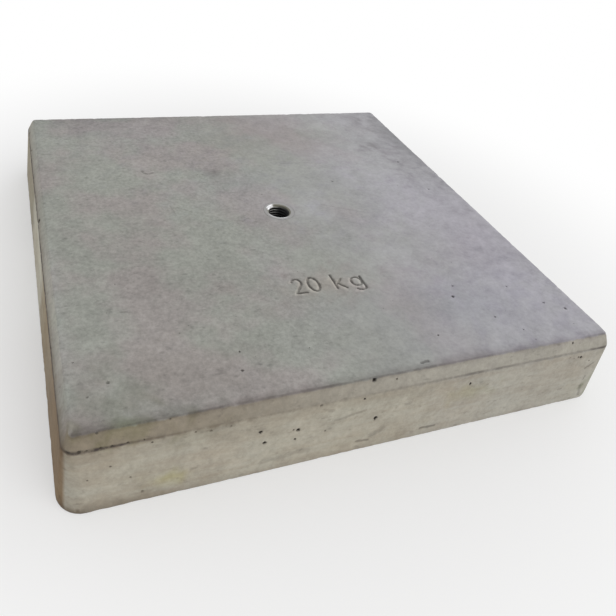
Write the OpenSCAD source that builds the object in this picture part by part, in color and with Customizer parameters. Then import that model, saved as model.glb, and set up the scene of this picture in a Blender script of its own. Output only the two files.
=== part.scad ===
// Cast concrete base for a sign post or flag pole: a square slab with leaning walls, a bevel
// round its top edge and a threaded steel socket cast into its centre.
// Sizes are in millimetres. The slab stands on z = 0, and +z runs up the axis of the socket.

/* [Concrete slab] */
// Width of the square foot, where the slab is widest
foot_w = 400; // [300:5:600]
// Height from the foot to the top face
slab_h = 58; // [54:1:90]
// How far each wall leans in between the foot and the bevel, so that the mould comes off
wall_lean = 8; // [2:0.5:14]
// Height of the bevel round the top edge
bevel_h = 9; // [3:0.5:16]
// Width of the bevel, seen from above
bevel_w = 5.5; // [2:0.5:12]
// Radius of the upright corners at the top face, which grows down the slab
top_corner_r = 2.5; // [1:0.5:20]

/* [Threaded socket] */
// Core diameter of the thread, 17.3 for a coarse 20 mm thread
thread_core_d = 17.3; // [14:0.1:24]
// Wall of the socket, outside the core of its thread
socket_wall = 4.35; // [3.5:0.05:8]
// Length of the socket, down from the top face
socket_l = 40; // [25:1:44]
// Width of the chamfer that leads a bolt into the thread
mouth_chamfer = 1.6; // [0.5:0.1:3]

/* [Anchor plate] */
// Width of the square plate that closes the foot of the socket
plate_w = 50; // [40:1:120]
// Thickness of the plate
plate_t = 5; // [3:0.5:8]
// Leg of the weld bead between the plate and the socket
weld_leg = 3.5; // [2:0.5:5]

/* [Hidden] */

// How far a cutting shape runs past the face that it opens
cut_over = 1;

// The slab's half widths at the foot, at the crease under the bevel and at the top face
foot_half = foot_w / 2;
crease_half = foot_half - wall_lean;
top_half = crease_half - bevel_w;
crease_z = slab_h - bevel_h;

// All four corners are rounded about upright axes at this distance from the middle
corner_axis = top_half - top_corner_r;

// The socket hangs down from the top face, and the plate lies under it
core_r = thread_core_d / 2;
socket_r = core_r + socket_wall;
socket_foot_z = slab_h - socket_l;
plate_foot_z = socket_foot_z - plate_t;

concrete_grey = [0.60, 0.59, 0.55];
steel_grey = [0.70, 0.71, 0.72];
plate_grey = [0.45, 0.45, 0.46];

$fn = 96;

// Half of the slab's section, from an upright line at distance inner out to its wall
function half_section(inner) = [
    [0, 0],
    [foot_half - inner, 0],
    [crease_half - inner, crease_z],
    [top_half - inner, slab_h],
    [0, slab_h]
];

// A bar across the whole slab that ends where the corners begin
module cross_bar() {
    rotate([90, 0, 0])
        linear_extrude(height = 2 * corner_axis, center = true) {
            polygon(half_section(0));
            mirror([1, 0])
                polygon(half_section(0));
        }
}

// One quarter round corner, which leans in and narrows with the walls beside it
module slab_corner() {
    translate([corner_axis, corner_axis, 0])
        rotate_extrude(angle = 90)
            polygon(half_section(corner_axis));
}

// The slab before the steel is cast into it
module slab_blank() {
    cross_bar();
    rotate([0, 0, 90])
        cross_bar();
    for (turn = [0:90:270])
        rotate([0, 0, turn])
            slab_corner();
}

// The room that the socket and its plate take up in the concrete
module cast_in_room() {
    translate([0, 0, socket_foot_z])
        cylinder(r = socket_r, h = socket_l + cut_over);
    anchor_plate_shape();
}

// A welded ring with a sloping face, standing on the plate round the socket
module weld_bead() {
    rotate_extrude()
        polygon([
            [socket_r, 0],
            [socket_r + weld_leg, 0],
            [socket_r, weld_leg]
        ]);
}

module anchor_plate_shape() {
    translate([-plate_w / 2, -plate_w / 2, plate_foot_z])
        cube([plate_w, plate_w, plate_t]);
    translate([0, 0, socket_foot_z])
        weld_bead();
}

// The cast slab, one solid, open at the top where the mouth of the socket shows
module concrete_slab() {
    color(concrete_grey)
        difference() {
            slab_blank();
            cast_in_room();
        }
}

// A turned steel tube with its thread's core bored through and a chamfer at its mouth
module threaded_socket() {
    color(steel_grey)
        translate([0, 0, socket_foot_z])
            difference() {
                cylinder(r = socket_r, h = socket_l);
                translate([0, 0, -cut_over])
                    cylinder(r = core_r, h = socket_l + 2 * cut_over);
                translate([0, 0, socket_l - mouth_chamfer])
                    cylinder(
                        r1 = core_r,
                        r2 = core_r + mouth_chamfer + cut_over,
                        h = mouth_chamfer + cut_over
                    );
            }
}

// A square steel plate, welded under the socket, that holds it in the concrete
module anchor_plate() {
    color(plate_grey)
        anchor_plate_shape();
}

concrete_slab();
threaded_socket();
anchor_plate();
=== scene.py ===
"""Looks of a cast concrete base with a threaded steel socket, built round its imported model.

Meshes are modelled in millimetres and made metres when they are finished. The slab stands on
z = 0 with the socket's axis on z, its front is the side at -y and its left is the side at -x.
"""
import logging
import math
import random
from collections.abc import Iterator, Sequence
from dataclasses import dataclass, field
from enum import Enum
from typing import Any

import bmesh
import bpy
import numpy as np
from mathutils import Matrix, Vector, noise


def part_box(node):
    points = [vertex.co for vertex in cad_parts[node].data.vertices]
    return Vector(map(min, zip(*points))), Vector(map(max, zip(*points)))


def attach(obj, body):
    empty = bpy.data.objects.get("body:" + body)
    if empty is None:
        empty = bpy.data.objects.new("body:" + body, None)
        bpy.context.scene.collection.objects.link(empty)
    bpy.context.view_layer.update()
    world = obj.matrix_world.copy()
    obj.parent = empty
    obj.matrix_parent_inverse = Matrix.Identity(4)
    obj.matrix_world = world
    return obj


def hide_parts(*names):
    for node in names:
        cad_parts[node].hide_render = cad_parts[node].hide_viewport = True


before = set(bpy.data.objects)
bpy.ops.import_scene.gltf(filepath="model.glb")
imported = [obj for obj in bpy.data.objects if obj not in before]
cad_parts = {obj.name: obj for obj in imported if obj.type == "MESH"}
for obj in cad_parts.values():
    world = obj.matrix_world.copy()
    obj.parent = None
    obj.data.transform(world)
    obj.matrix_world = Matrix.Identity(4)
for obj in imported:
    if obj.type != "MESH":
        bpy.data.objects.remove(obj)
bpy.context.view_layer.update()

LOG = logging.getLogger("concrete_base")
BODY = "root"
# Metres in a millimetre
MM = 0.001
# Places closer than this, in millimetres, count as one
NEAR = 0.01

Colour = tuple[float, float, float, float]
Triple = tuple[float, float, float]
Spot = tuple[float, float]
Stations = tuple[Spot, ...]
# Arrays with one row, and with one value, for each point
Points = np.ndarray
Numbers = np.ndarray


def rgb(red: int, green: int, blue: int) -> Colour:
    """Turn a screen colour into the linear colour that shaders use.

    Args:
        red: red, from 0 to 255.
        green: green, from 0 to 255.
        blue: blue, from 0 to 255.

    Returns:
        The linear colour, with an alpha of 1.
    """
    shares = [part / 255 for part in (red, green, blue)]
    linear = [s / 12.92 if s <= 0.04045 else ((s + 0.055) / 1.055) ** 2.4 for s in shares]
    return (linear[0], linear[1], linear[2], 1.0)


def smooth(share: Numbers) -> Numbers:
    """Clip to 0 and 1, and ease both ends."""
    clipped = np.clip(share, 0, 1)
    return clipped * clipped * (3 - 2 * clipped)


def waver(points: Points, size: float, octaves: int = 3, shift: float = 0.0) -> Numbers:
    """Work out smooth noise at many points.

    Args:
        points: one row for each point, in millimetres.
        size: the size of the noise's largest patches, in millimetres.
        octaves: how many finer sizes it has.
        shift: how far it is moved, so that two fields differ.

    Returns:
        One value for each point, mostly between -0.6 and 0.6.
    """
    moved = (points / size + shift).tolist()
    return np.array([noise.fractal(point, 1.0, 2.0, octaves) for point in moved])


def arc(centre: Spot, radii: Spot, first: float, last: float, steps: int = 14) -> list[Spot]:
    """Make the points of an arc.

    Args:
        centre: its centre.
        radii: its half width and half height.
        first: the angle of its first point, in degrees.
        last: the angle of its last point, in degrees.
        steps: how many lines it has.

    Returns:
        The points, from the first to the last.
    """
    angles = [math.radians(first + (last - first) * i / steps) for i in range(steps + 1)]
    return [(centre[0] + radii[0] * math.cos(a), centre[1] + radii[1] * math.sin(a)) for a in angles]


class Shade:
    """One output of a node. Arithmetic on it adds Math nodes."""

    def __init__(self, maker: "NodeMaker", socket: bpy.types.NodeSocket) -> None:
        """Keep the socket, and the maker that adds further nodes."""
        self.maker = maker
        self.socket = socket

    def math(self, operation: str, *values: "Shade | float") -> "Shade":
        """Add a Math node on these values, in their order."""
        return self.maker.node("ShaderNodeMath", {"operation": operation}, dict(enumerate(values)))

    def __add__(self, other: "Shade | float") -> "Shade":
        """Add other to this."""
        return self.math("ADD", self, other)

    def __radd__(self, other: float) -> "Shade":
        """Add this to a number."""
        return self.math("ADD", other, self)

    def __sub__(self, other: "Shade | float") -> "Shade":
        """Take other from this."""
        return self.math("SUBTRACT", self, other)

    def __rsub__(self, other: float) -> "Shade":
        """Take this from a number."""
        return self.math("SUBTRACT", other, self)

    def __mul__(self, other: "Shade | float") -> "Shade":
        """Multiply this by other."""
        return self.math("MULTIPLY", self, other)

    def __rmul__(self, other: float) -> "Shade":
        """Multiply a number by this."""
        return self.math("MULTIPLY", other, self)

    def __truediv__(self, other: "Shade | float") -> "Shade":
        """Divide this by other."""
        return self.math("DIVIDE", self, other)

    def __rtruediv__(self, other: float) -> "Shade":
        """Divide a number by this."""
        return self.math("DIVIDE", other, self)

    def __abs__(self) -> "Shade":
        """Take the sign off this."""
        return self.math("ABSOLUTE", self)

    def least(self, other: "Shade | float") -> "Shade":
        """Take the smaller of this and other."""
        return self.math("MINIMUM", self, other)

    def most(self, other: "Shade | float") -> "Shade":
        """Take the larger of this and other."""
        return self.math("MAXIMUM", self, other)

    def length(self, other: "Shade") -> "Shade":
        """Measure the slant of a triangle whose legs are this and other."""
        return self.math("SQRT", self * self + other * other)

    def fade(self, low: float, high: float) -> "Shade":
        """Rise smoothly from 0 at low to 1 at high."""
        values = {"Value": self, "From Min": low, "From Max": high}
        return self.maker.node("ShaderNodeMapRange", {"interpolation_type": "SMOOTHSTEP"}, values)


class NodeMaker:
    """Adds nodes to one node tree."""

    MIX_FACTOR, MIX_A, MIX_B, MIX_RESULT = 0, 6, 7, 2
    VECTOR_SCALE = 3

    def __init__(self, tree: bpy.types.NodeTree) -> None:
        """Empty the tree."""
        self.tree = tree
        tree.nodes.clear()

    def node(
        self,
        kind: str,
        settings: dict[str, Any] | None = None,
        values: dict[str | int, Any] | None = None,
        output: str | int = 0,
    ) -> Shade:
        """Add one node.

        Args:
            kind: Blender's type name of the node.
            settings: its properties, which are set first.
            values: a number, colour or Shade for each of its sockets.
            output: the output that is wanted.

        Returns:
            That output.
        """
        made = self.tree.nodes.new(kind)
        for name, setting in (settings or {}).items():
            setattr(made, name, setting)
        for key, value in (values or {}).items():
            if isinstance(value, Shade):
                self.tree.links.new(value.socket, made.inputs[key])
            else:
                made.inputs[key].default_value = value
        return Shade(self, made.outputs[output] if made.outputs else None)

    def attribute(self, name: str, output: str = "Fac") -> Shade:
        """Read a value that is kept on the mesh."""
        return self.node("ShaderNodeAttribute", {"attribute_name": name}, output=output)

    def scale(self, vector: Shade, amount: Shade | float) -> Shade:
        """Multiply a vector or a colour by a value."""
        values = {0: vector, self.VECTOR_SCALE: amount}
        return self.node("ShaderNodeVectorMath", {"operation": "SCALE"}, values)

    def place(self) -> Shade:
        """Read the place on the object, in millimetres."""
        return self.scale(self.node("ShaderNodeTexCoord", output="Object"), 1 / MM)

    def split(self, vector: Shade) -> list[Shade]:
        """Split a vector into its three parts."""
        made = self.node("ShaderNodeSeparateXYZ", values={0: vector})
        return [Shade(self, output) for output in made.socket.node.outputs]

    def mix(
        self, factor: Shade | float, first: Shade | Colour, second: Shade | Colour, blend: str = "MIX"
    ) -> Shade:
        """Mix two colours.

        Args:
            factor: 0 for the first colour alone, 1 for the blend with the second.
            first: the colour below.
            second: the colour above.
            blend: how they are blended.

        Returns:
            The mixed colour.
        """
        values = {self.MIX_FACTOR: factor, self.MIX_A: first, self.MIX_B: second}
        settings = {"data_type": "RGBA", "blend_type": blend}
        return self.node("ShaderNodeMix", settings, values, self.MIX_RESULT)


class Finish:
    """One material, whose patterns follow the place on the object."""

    name = "finish"

    def __init__(self) -> None:
        """Make the empty material, and read the place in millimetres."""
        self.material = bpy.data.materials.new(self.name)
        self.material.use_nodes = True
        self.maker = NodeMaker(self.material.node_tree)
        self.here = self.maker.place()
        self.x, self.y, self.z = self.maker.split(self.here)

    def paint(self) -> None:
        """Build the nodes."""
        raise NotImplementedError

    def make(self) -> bpy.types.Material:
        """Build the nodes, and hand over the material."""
        self.paint()
        return self.material

    def cloud(
        self,
        size: float,
        detail: float = 2.0,
        rough: float = 0.5,
        shift: float = 0.0,
        stretch: Triple = (1.0, 1.0, 1.0),
    ) -> Shade:
        """Add noise.

        Args:
            size: the size of its largest patches, in millimetres.
            detail: how many finer sizes it has.
            rough: how strong the finer sizes are.
            shift: how far it is moved, so that two clouds differ.
            stretch: how many times longer the patches are along each axis.

        Returns:
            A value that lies mostly between 0.3 and 0.7.
        """
        scale = [1 / (size * part) for part in stretch]
        moves = {"Vector": self.here, "Scale": scale, "Location": [shift] * 3}
        mapped = self.maker.node("ShaderNodeMapping", values=moves)
        values = {"Vector": mapped, "Scale": 1.0, "Detail": detail, "Roughness": rough}
        return self.maker.node("ShaderNodeTexNoise", {"noise_dimensions": "3D"}, values)

    def surface(
        self, colour: Shade, rough: Shade, grain: Shade, grain_depth: float, **more: Shade | float
    ) -> None:
        """Add the shader and the output.

        Args:
            colour: the base colour.
            rough: the roughness.
            grain: the height of the fine relief, from 0 to 1.
            grain_depth: the depth of that relief, in millimetres.
            more: other values of the shader, with _ for a space in their names.
        """
        bump = {"Height": grain, "Distance": grain_depth * MM, "Strength": 1.0}
        normal = self.maker.node("ShaderNodeBump", values=bump)
        values: dict[str | int, Any] = {"Base Color": colour, "Roughness": rough, "Normal": normal}
        values |= {key.replace("_", " "): value for key, value in more.items()}
        shader = self.maker.node("ShaderNodeBsdfPrincipled", values=values)
        self.maker.node("ShaderNodeOutputMaterial", values={"Surface": shader})


class Face(Enum):
    """A face of the slab that shows, and the angle that a side is turned from the front."""

    TOP = None
    FRONT = 0
    RIGHT = 90
    BACK = 180
    LEFT = 270


class Ring(Enum):
    """An edge that runs round the slab."""

    TOP = "top"
    LOW = "low"
    FOOT = "foot"


# Places on a face are given as the distance to the right of its middle, seen from outside, and
# the height. On the top face they are x and y. All lengths in these tables are millimetres.

# Dirt and painted shade in the line of a crease: places along each side, and how much is there
CREASE_SOIL_AND_SHADE = {
    Ring.TOP: {
        Face.FRONT: (
            (-190, 0.9), (-165, 0.9), (-125, 0.8), (0, 0.75), (70, 0.7), (110, 0.4), (155, 0.2), (175, 0.6),
            (190, 0.8),
        ),
        Face.RIGHT: ((-190, 0.7), (190, 0.7)),
        Face.BACK: ((-190, 0.5), (190, 0.5)),
        Face.LEFT: ((-190, 0.15), (10, 0.1), (40, 0.0), (186, 0.1)),
    },
    Ring.LOW: {
        Face.FRONT: (
            (-190, 1.0), (-165, 0.9), (-148, 0.35), (-127, 0.1), (-71, 0.0), (-5, 0.05), (30, 0.2), (69, 0.5),
            (130, 0.4), (155, 0.2), (190, 0.8),
        ),
        Face.RIGHT: ((-190, 0.9), (-150, 0.5), (190, 0.5)),
        Face.BACK: ((-190, 0.6), (190, 0.6)),
        Face.LEFT: ((-190, 1.1), (60, 1.15), (110, 0.8), (190, 0.6)),
    },
}

# Soft stains and paler patches: the place, the size and the tint
STAINS = {
    Face.FRONT: (
        ((-137, 14), (8, 6, 4), (0.98, 0.98, 0.70)),
        ((-137, 5), (10, 6, 5), (1.06, 1.07, 1.10)),
        ((73, 32), (11, 6, 6), (0.84, 0.84, 0.72)),
        ((-113, 23), (24, 8, 10), (1.09, 1.09, 1.10)),
        ((54, 36), (9, 6, 6), (1.11, 1.10, 1.09)),
        ((168, 15), (9, 6, 9), (0.94, 0.94, 0.92)),
        ((-24, 11), (13, 6, 5), (0.92, 0.92, 0.91)),
        ((-25, 41), (10, 6, 5), (0.93, 0.93, 0.92)),
        ((-72, 24), (11, 6, 6), (0.94, 0.94, 0.93)),
        ((-153, 27), (12, 6, 9), (0.94, 0.94, 0.93)),
        ((-117, 43), (14, 6, 5), (0.91, 0.91, 0.89)),
        ((-150, 7), (6, 6, 7), (0.94, 0.93, 0.92)),
    ),
    Face.TOP: (
        ((-158, -186), (16, 5, 7), (0.86, 0.92, 0.74)),
        ((-172, -176), (26, 12, 8), (0.84, 0.83, 0.81)),
        ((-130, -158), (48, 24, 6), (0.90, 0.89, 0.87)),
        ((-37, 69), (6, 5, 6), (0.75, 0.72, 0.73)),
        ((146, 107), (9, 6, 6), (0.66, 0.64, 0.64)),
        ((2, -97), (34, 12, 6), (1.00, 0.92, 0.90)),
        ((2, 0), (22, 15, 6), (1.03, 1.02, 1.06)),
        ((10, 140), (95, 42, 6), (0.93, 0.90, 0.90)),
        ((188, 115), (26, 88, 6), (0.60, 0.60, 0.59)),
        ((125, 50), (28, 40, 6), (1.06, 1.06, 1.06)),
        ((108, 148), (24, 16, 6), (1.15, 1.15, 1.15)),
        ((-135, 174), (60, 20, 6), (0.89, 0.89, 0.90)),
        ((-80, 150), (80, 45, 6), (0.985, 1.0, 1.035)),
        ((-35, 42), (48, 38, 6), (0.985, 1.0, 1.03)),
        ((-125, -40), (60, 80, 6), (0.965, 0.965, 0.96)),
        ((-122, -70), (9, 20, 6), (0.945, 0.94, 0.94)),
        ((150, -60), (60, 90, 6), (1.00, 0.97, 1.02)),
        ((90, -138), (80, 30, 6), (0.86, 0.87, 0.885)),
    ),
}

# Stains at the front corners: 1 for the right one and -1 for the left, how far in from the foot's
# side and front, the height, the size and the tint
CORNER_STAINS = (
    (1, 6, 6, 6, (8, 8, 14), (0.62, 0.68, 0.56)),
    (1, 9, 9, 34, (6, 6, 20), (0.80, 0.81, 0.76)),
    (-1, 8, 6, 1, (9, 9, 3), (0.45, 0.38, 0.32)),
)

# Dirt films, paler stretches and painted light and shade beside a ring: how far in and out they
# reach, their tint, their strength at places along the side, and how far they run on round the corner
WHOLE_WALL = 999.0
FILMS_AND_PAINTED_LIGHT = {
    (Face.FRONT, Ring.TOP): (
        (12.0, 2.6, (0.62, 0.60, 0.61), ((-190, 0.9), (-165, 0.9), (-140, 0.7), (-115, 0.2), (-90, 0)), 3.0),
        (6.5, 2.4, (0.66, 0.63, 0.63),
         ((-190, 0.4), (-140, 0.4), (-100, 0.9), (-40, 0.75), (100, 0.9), (150, 0.5)), 3.0),
    ),
    (Face.FRONT, Ring.LOW): (
        (0.8, 16.0, (0.86, 0.84, 0.82),
         ((-190, 1.0), (-125, 1.2), (-100, 0.8), (30, 0.7), (80, 0.2), (105, 0.7), (130, 0)), 12.0),
        (0.5, WHOLE_WALL, (0.985, 1.0, 1.045), ((20, 0), (60, 1.0)), 0),
    ),
    # Darker towards the front's foot: dirt and painted contact shade
    (Face.FRONT, Ring.FOOT): (
        (9.0, 2.0, (0.86, 0.84, 0.83), ((-190, 1.0), (-140, 1.0), (-110, 0.4), (190, 0.4)), 0),
        (12.0, 2.0, (0.84, 0.82, 0.80), ((-190, 1.6), (-140, 1.6), (-115, 0.5), (0, 0.6), (40, 0)), 0),
    ),
    (Face.BACK, Ring.TOP): (
        (18.0, 3.0, (0.88, 0.88, 0.89), ((-150, 0), (-60, 0.1), (0, 0.5), (60, 0.5), (120, 1.3)), 0),
    ),
    # Paler stretches beside the left's top crease: the bevel's own tone, and painted light on the bevel,
    # which the lamps leave in shade
    (Face.LEFT, Ring.TOP): (
        (0.4, 12.0, (1.36, 1.36, 1.33),
         ((-190, 0.7), (-30, 0.6), (16, 0.5), (42, 0.85), (88, 1.0), (120, 0)), 0),
        (0.4, 8.0, (1.36, 1.36, 1.34), ((88, 0), (120, 0.85), (150, 0.6), (174, 0.35), (186, 0.1)), 0),
        (9.0, 0.4, (1.09, 1.10, 1.12), ((16, 0), (42, 1.0), (131, 1.0), (160, 0.4), (190, 0)), 0),
    ),
    # The left wall: darker, browner and paler stretches, its own tone and painted light and shade
    (Face.LEFT, Ring.LOW): (
        (6.0, 1.0, (0.70, 0.66, 0.62), ((-190, 0.6), (-100, 0.8), (90, 0.9), (130, 1.2)), 0),
        (0.5, WHOLE_WALL, (0.60, 0.46, 0.33),
         ((60, 0), (111, 0.62), (131, 0.85), (150, 0.98), (170, 1.05)), 0),
        (0.5, WHOLE_WALL, (0.90, 0.80, 0.66), ((35, 0), (45, 0.8), (88, 1.0), (111, 0.3), (140, 0)), 0),
        (0.5, WHOLE_WALL, (1.38, 1.40, 1.38), ((-70, 0), (-58, 1.0), (28, 1.0), (42, 0)), 0),
        (0.5, WHOLE_WALL, (0.90, 0.87, 0.79), ((-80, 1.0), (-66, 0)), 0),
    ),
}

# Pits that stand out: the place, the radius and the dirt
PITS = {
    Face.TOP: (
        (-85, -163, 1.0, 0.75), (-82, -148, 0.7, 0.8), (-163, -155, 1.2, 0.3), (-175, -163, 0.9, 0.4),
        (-180, -136, 0.8, 0.4), (56, -162, 0.9, 0.8), (91, -128, 1.4, 1.1), (98, -117, 1.1, 0.45),
        (110, -154, 1.0, 0.5), (123, -170, 0.8, 0.5), (142, -126, 0.8, 0.35), (160, -148, 1.1, 0.6),
        (173, -157, 1.4, 0.6), (160, 16, 1.2, 0.3), (69, 41, 1.2, 0.4), (157, 70, 1.2, 0.5),
    ),
    Face.FRONT: (
        (-173, 56.9, 0.8, 0.5), (-134, 56.9, 0.7, 0.35), (-43, 47.7, 1.1, 0.25), (154, 55.5, 1.0, 1.1),
        (9.5, 54.7, 0.8, 0.4), (-81, 36, 1.3, 1.3), (-77.5, 26.2, 1.5, 1.3), (-56, 31, 1.45, 1.1),
        (-59.5, 32, 0.8, 0.5), (-57.5, 23.5, 0.9, 1.1), (-145, 46, 0.8, 0.6), (-168, 34, 0.7, 0.6),
        (-158, 22, 0.8, 0.3), (-181, 27, 0.7, 0.5), (-152, 8, 1.0, 0.4), (-13, 46, 0.85, 1.1),
        (-1, 27, 1.5, 1.3), (69, 40, 1.0, 1.5), (165, 43.4, 1.1, 1.1), (162.6, 43.7, 0.9, 0.6),
        (158.3, 43.7, 0.7, 0.4), (153.8, 45, 0.7, 0.35), (-37, 25, 0.75, 0.55), (175.5, 38.4, 0.8, 0.4),
        (-6.5, 56.6, 1.8, 1.3), (-111.5, 45.6, 0.85, 0.2), (-99.7, 46, 0.7, 0.35), (-120.5, 47, 0.75, 0.15),
    ),
    Face.LEFT: ((-23, 50, 2.9, 1.3), (-137, 51, 1.3, 0.7), (-172, 51, 1.5, 0.7)),
}

# Chips in the front's low crease: the place along it and the radius
CREASE_CHIPS = ((-189, 1.7), (-183, 1.2), (-179, 0.8), (-172, 1.3), (-166, 0.8), (-158, 1.0), (-149, 0.7))

# The dent, the crescent mark, scratches and smears: the line, the half width, the depth and the dirt
SCRATCHES = {
    Face.TOP: (
        (((30, -182), (35.5, -181)), 1.3, 0.8, 0.5),
        (arc((-96, 76), (5, 3.5), math.degrees(2.6), math.degrees(5.6), 8), 1.6, 0.4, 0.36),
        (((31, 79), (52, 78), (72, 75)), 0.6, 0.12, 0.2),
        (((41, 5), (60, -5), (76, -12.5)), 0.6, 0.12, 0.16),
        (((106, -145),), 2.4, 0.3, 0.14),
        (((-84, 16.5), (-78, 12), (-73, 8)), 1.2, 0.15, 0.20),
        (((-89, 19.5), (-87, 6)), 0.8, 0.12, 0.14),
        (((-36, -10.5), (-30, -7)), 1.1, 0.15, 0.16),
        (((-147, -99), (-143, -99.5)), 1.0, 0.15, 0.25),
    ),
    Face.FRONT: (
        (((-78, 10), (-63, 10), (-47, 11.8)), 3.0, 0.2, 0.2),
        (((-31, 32.2), (-10, 36)), 1.6, 0.2, 0.22),
        (((-1, 11.5), (7, 15.5)), 4.2, 0.2, 0.24),
        (((39, 7.2), (50, 6.6)), 1.7, 0.25, 0.45),
        (((-12, 8.8), (-3, 7.8)), 1.4, 0.2, 0.4),
        (((175.4, 31.4), (181.3, 34.9)), 1.2, 0.2, 0.35),
        (((179.6, 20), (180.1, 22.8)), 1.0, 0.2, 0.35),
        (((180, 14), (183, 4)), 2.0, 0.2, 0.32),
        (((180.4, 44),), 2.4, 0.2, 0.16),
        (((-117, 45.8), (-98, 46.2)), 1.7, 0.15, 0.12),
    ),
}


@dataclass(frozen=True)
class Crease:
    """The wear of an edge round the slab, and how fine the mesh is beside it. Millimetres."""

    half: float
    height: float
    radius: float = 1.1
    spread: float = 1.6
    ragged: float = 0.12
    chips: float = 0.6
    mesh_edge: float = 1.6
    mesh_growth: float = 0.7


@dataclass(frozen=True)
class Groove:
    """A hollow along a line, such as a stroke or a scratch. A pit is a groove of one point.

    Lengths are in millimetres.
    """

    line: Points
    half_width: float
    depth: float
    slope: float = 0.7
    soil: float = 0.8
    ragged: float = 0.0

    SHORTEST = 1e-6

    def distance(self, points: Points) -> Numbers:
        """Measure how far points are from the line.

        Args:
            points: one row for each point.

        Returns:
            One distance for each point.
        """
        nearest = np.full(len(points), np.inf)
        ends = self.line[1:] if len(self.line) > 1 else self.line
        for start, end in zip(self.line, ends):
            run = end - start
            share = np.clip((points - start) @ run / max(run @ run, self.SHORTEST), 0, 1)
            gap = np.linalg.norm(points - start - share[:, None] * run, axis=1)
            nearest = np.minimum(nearest, gap)
        return nearest


class Relief:
    """All the grooves and pits of one piece."""

    # Edges in a groove are this share of its half width, and grow by this much for each
    # millimetre away from it, as far as the reach
    FINEST_SHARE = 0.5
    GROWTH = 0.65
    REACH = 7.0
    # How far past its half width a ragged groove can run
    RAGGED_REACH = 1.0
    # How much sooner than the full depth the full dirt is reached
    SOIL_SHARE = 1.5

    def __init__(self, grooves: Sequence[Groove]) -> None:
        """Keep the grooves."""
        self.grooves = grooves

    def _near(self, points: Points, margin: float) -> Iterator[tuple[Groove, Numbers, Numbers]]:
        """Go through the grooves and the points near each.

        Args:
            points: one row for each point.
            margin: how far past a groove's own width to look.

        Yields:
            A groove, the numbers of the points near it, and their distances from its line.
        """
        order = np.argsort(points[:, 0])
        ranked = points[order]
        for groove in self.grooves:
            spread = groove.half_width + margin
            low = groove.line.min(0) - spread
            high = groove.line.max(0) + spread
            first, last = np.searchsorted(ranked[:, 0], (low[0], high[0]))
            strip = ranked[first:last]
            inside = ((strip > low) & (strip < high)).all(1)
            if inside.any():
                yield groove, order[first:last][inside], groove.distance(strip[inside])

    def edge_length(self, points: Points, coarse: float) -> Numbers:
        """Say how long a mesh's edges may be.

        Args:
            points: the middles of the edges.
            coarse: the length away from all grooves.

        Returns:
            The longest edge that each place should have.
        """
        wanted = np.full(len(points), coarse)
        for groove, index, distance in self._near(points, self.REACH):
            grown = groove.half_width * self.FINEST_SHARE
            grown = grown + np.clip(distance - groove.half_width, 0, None) * self.GROWTH
            wanted[index] = np.minimum(wanted[index], grown)
        return wanted

    def hollows(self, points: Points) -> tuple[Numbers, Numbers]:
        """Work out how deep the grooves are and how much dirt they hold.

        Args:
            points: one row for each vertex.

        Returns:
            The depth at each point, in millimetres, and its dirt, from 0 to 1.
        """
        depth = np.zeros(len(points))
        soil = np.zeros(len(points))
        for groove, index, distance in self._near(points, self.RAGGED_REACH):
            if groove.ragged:
                distance = distance * (1 + groove.ragged * waver(points[index], 2 * groove.half_width, 2))
            share = smooth((groove.half_width - distance) / (groove.half_width * groove.slope))
            depth[index] = np.maximum(depth[index], groove.depth * share)
            soil[index] = np.maximum(soil[index], groove.soil * smooth(self.SOIL_SHARE * share))
        return depth, soil


@dataclass(frozen=True)
class Stain:
    """A soft patch of another colour on the slab, with its place and size in millimetres."""

    centre: Points
    size: Triple
    tint: Triple

    BROKEN = 0.9

    def strength(self, points: Points, ragged: Numbers) -> Numbers:
        """Work out how strong the stain is.

        Args:
            points: one row for each vertex.
            ragged: noise for each vertex, which breaks up the stain's edge.

        Returns:
            A value from 0 to 1 for each vertex.
        """
        away = (points - self.centre) / np.array(self.size)
        return np.exp(-((np.linalg.norm(away, axis=1) * (1 + self.BROKEN * ragged)) ** 2))


@dataclass(frozen=True)
class FilmAndPaintedLight:
    """A tint beside a crease of one side: a film of dirt, a paler stretch, or painted light and shade.
    Millimetres.
    """

    side: Face
    crease: Crease
    inward: float
    outward: float
    tint: Triple
    stations: Stations
    past: float

    BROKEN = 0.6
    CORNER_FADE = 4.0
    END_SPREAD = 18.0

    def strength(self, slab: "ConcreteSlab", points: Points, ragged: Numbers) -> Numbers:
        """Work out how strong the film is.

        Args:
            slab: the slab that it lies on.
            points: one row for each vertex.
            ragged: noise for each vertex, which breaks up the film's edge.

        Returns:
            A value from 0 to 1 for each vertex.
        """
        along, inside = slab.along(points, self.side)
        here = smooth((inside + self.past) / self.CORNER_FADE)
        out, up = slab.reach(points) - self.crease.half, points[:, 2] - self.crease.height
        width = np.where(up - out > 0, self.inward, self.outward)
        share = 1 - smooth(np.hypot(out, up) * (1 + self.BROKEN * ragged) / width)
        places, strengths = zip(*self.stations)
        return here * share * np.interp(along + self.END_SPREAD * ragged, places, strengths)


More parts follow.
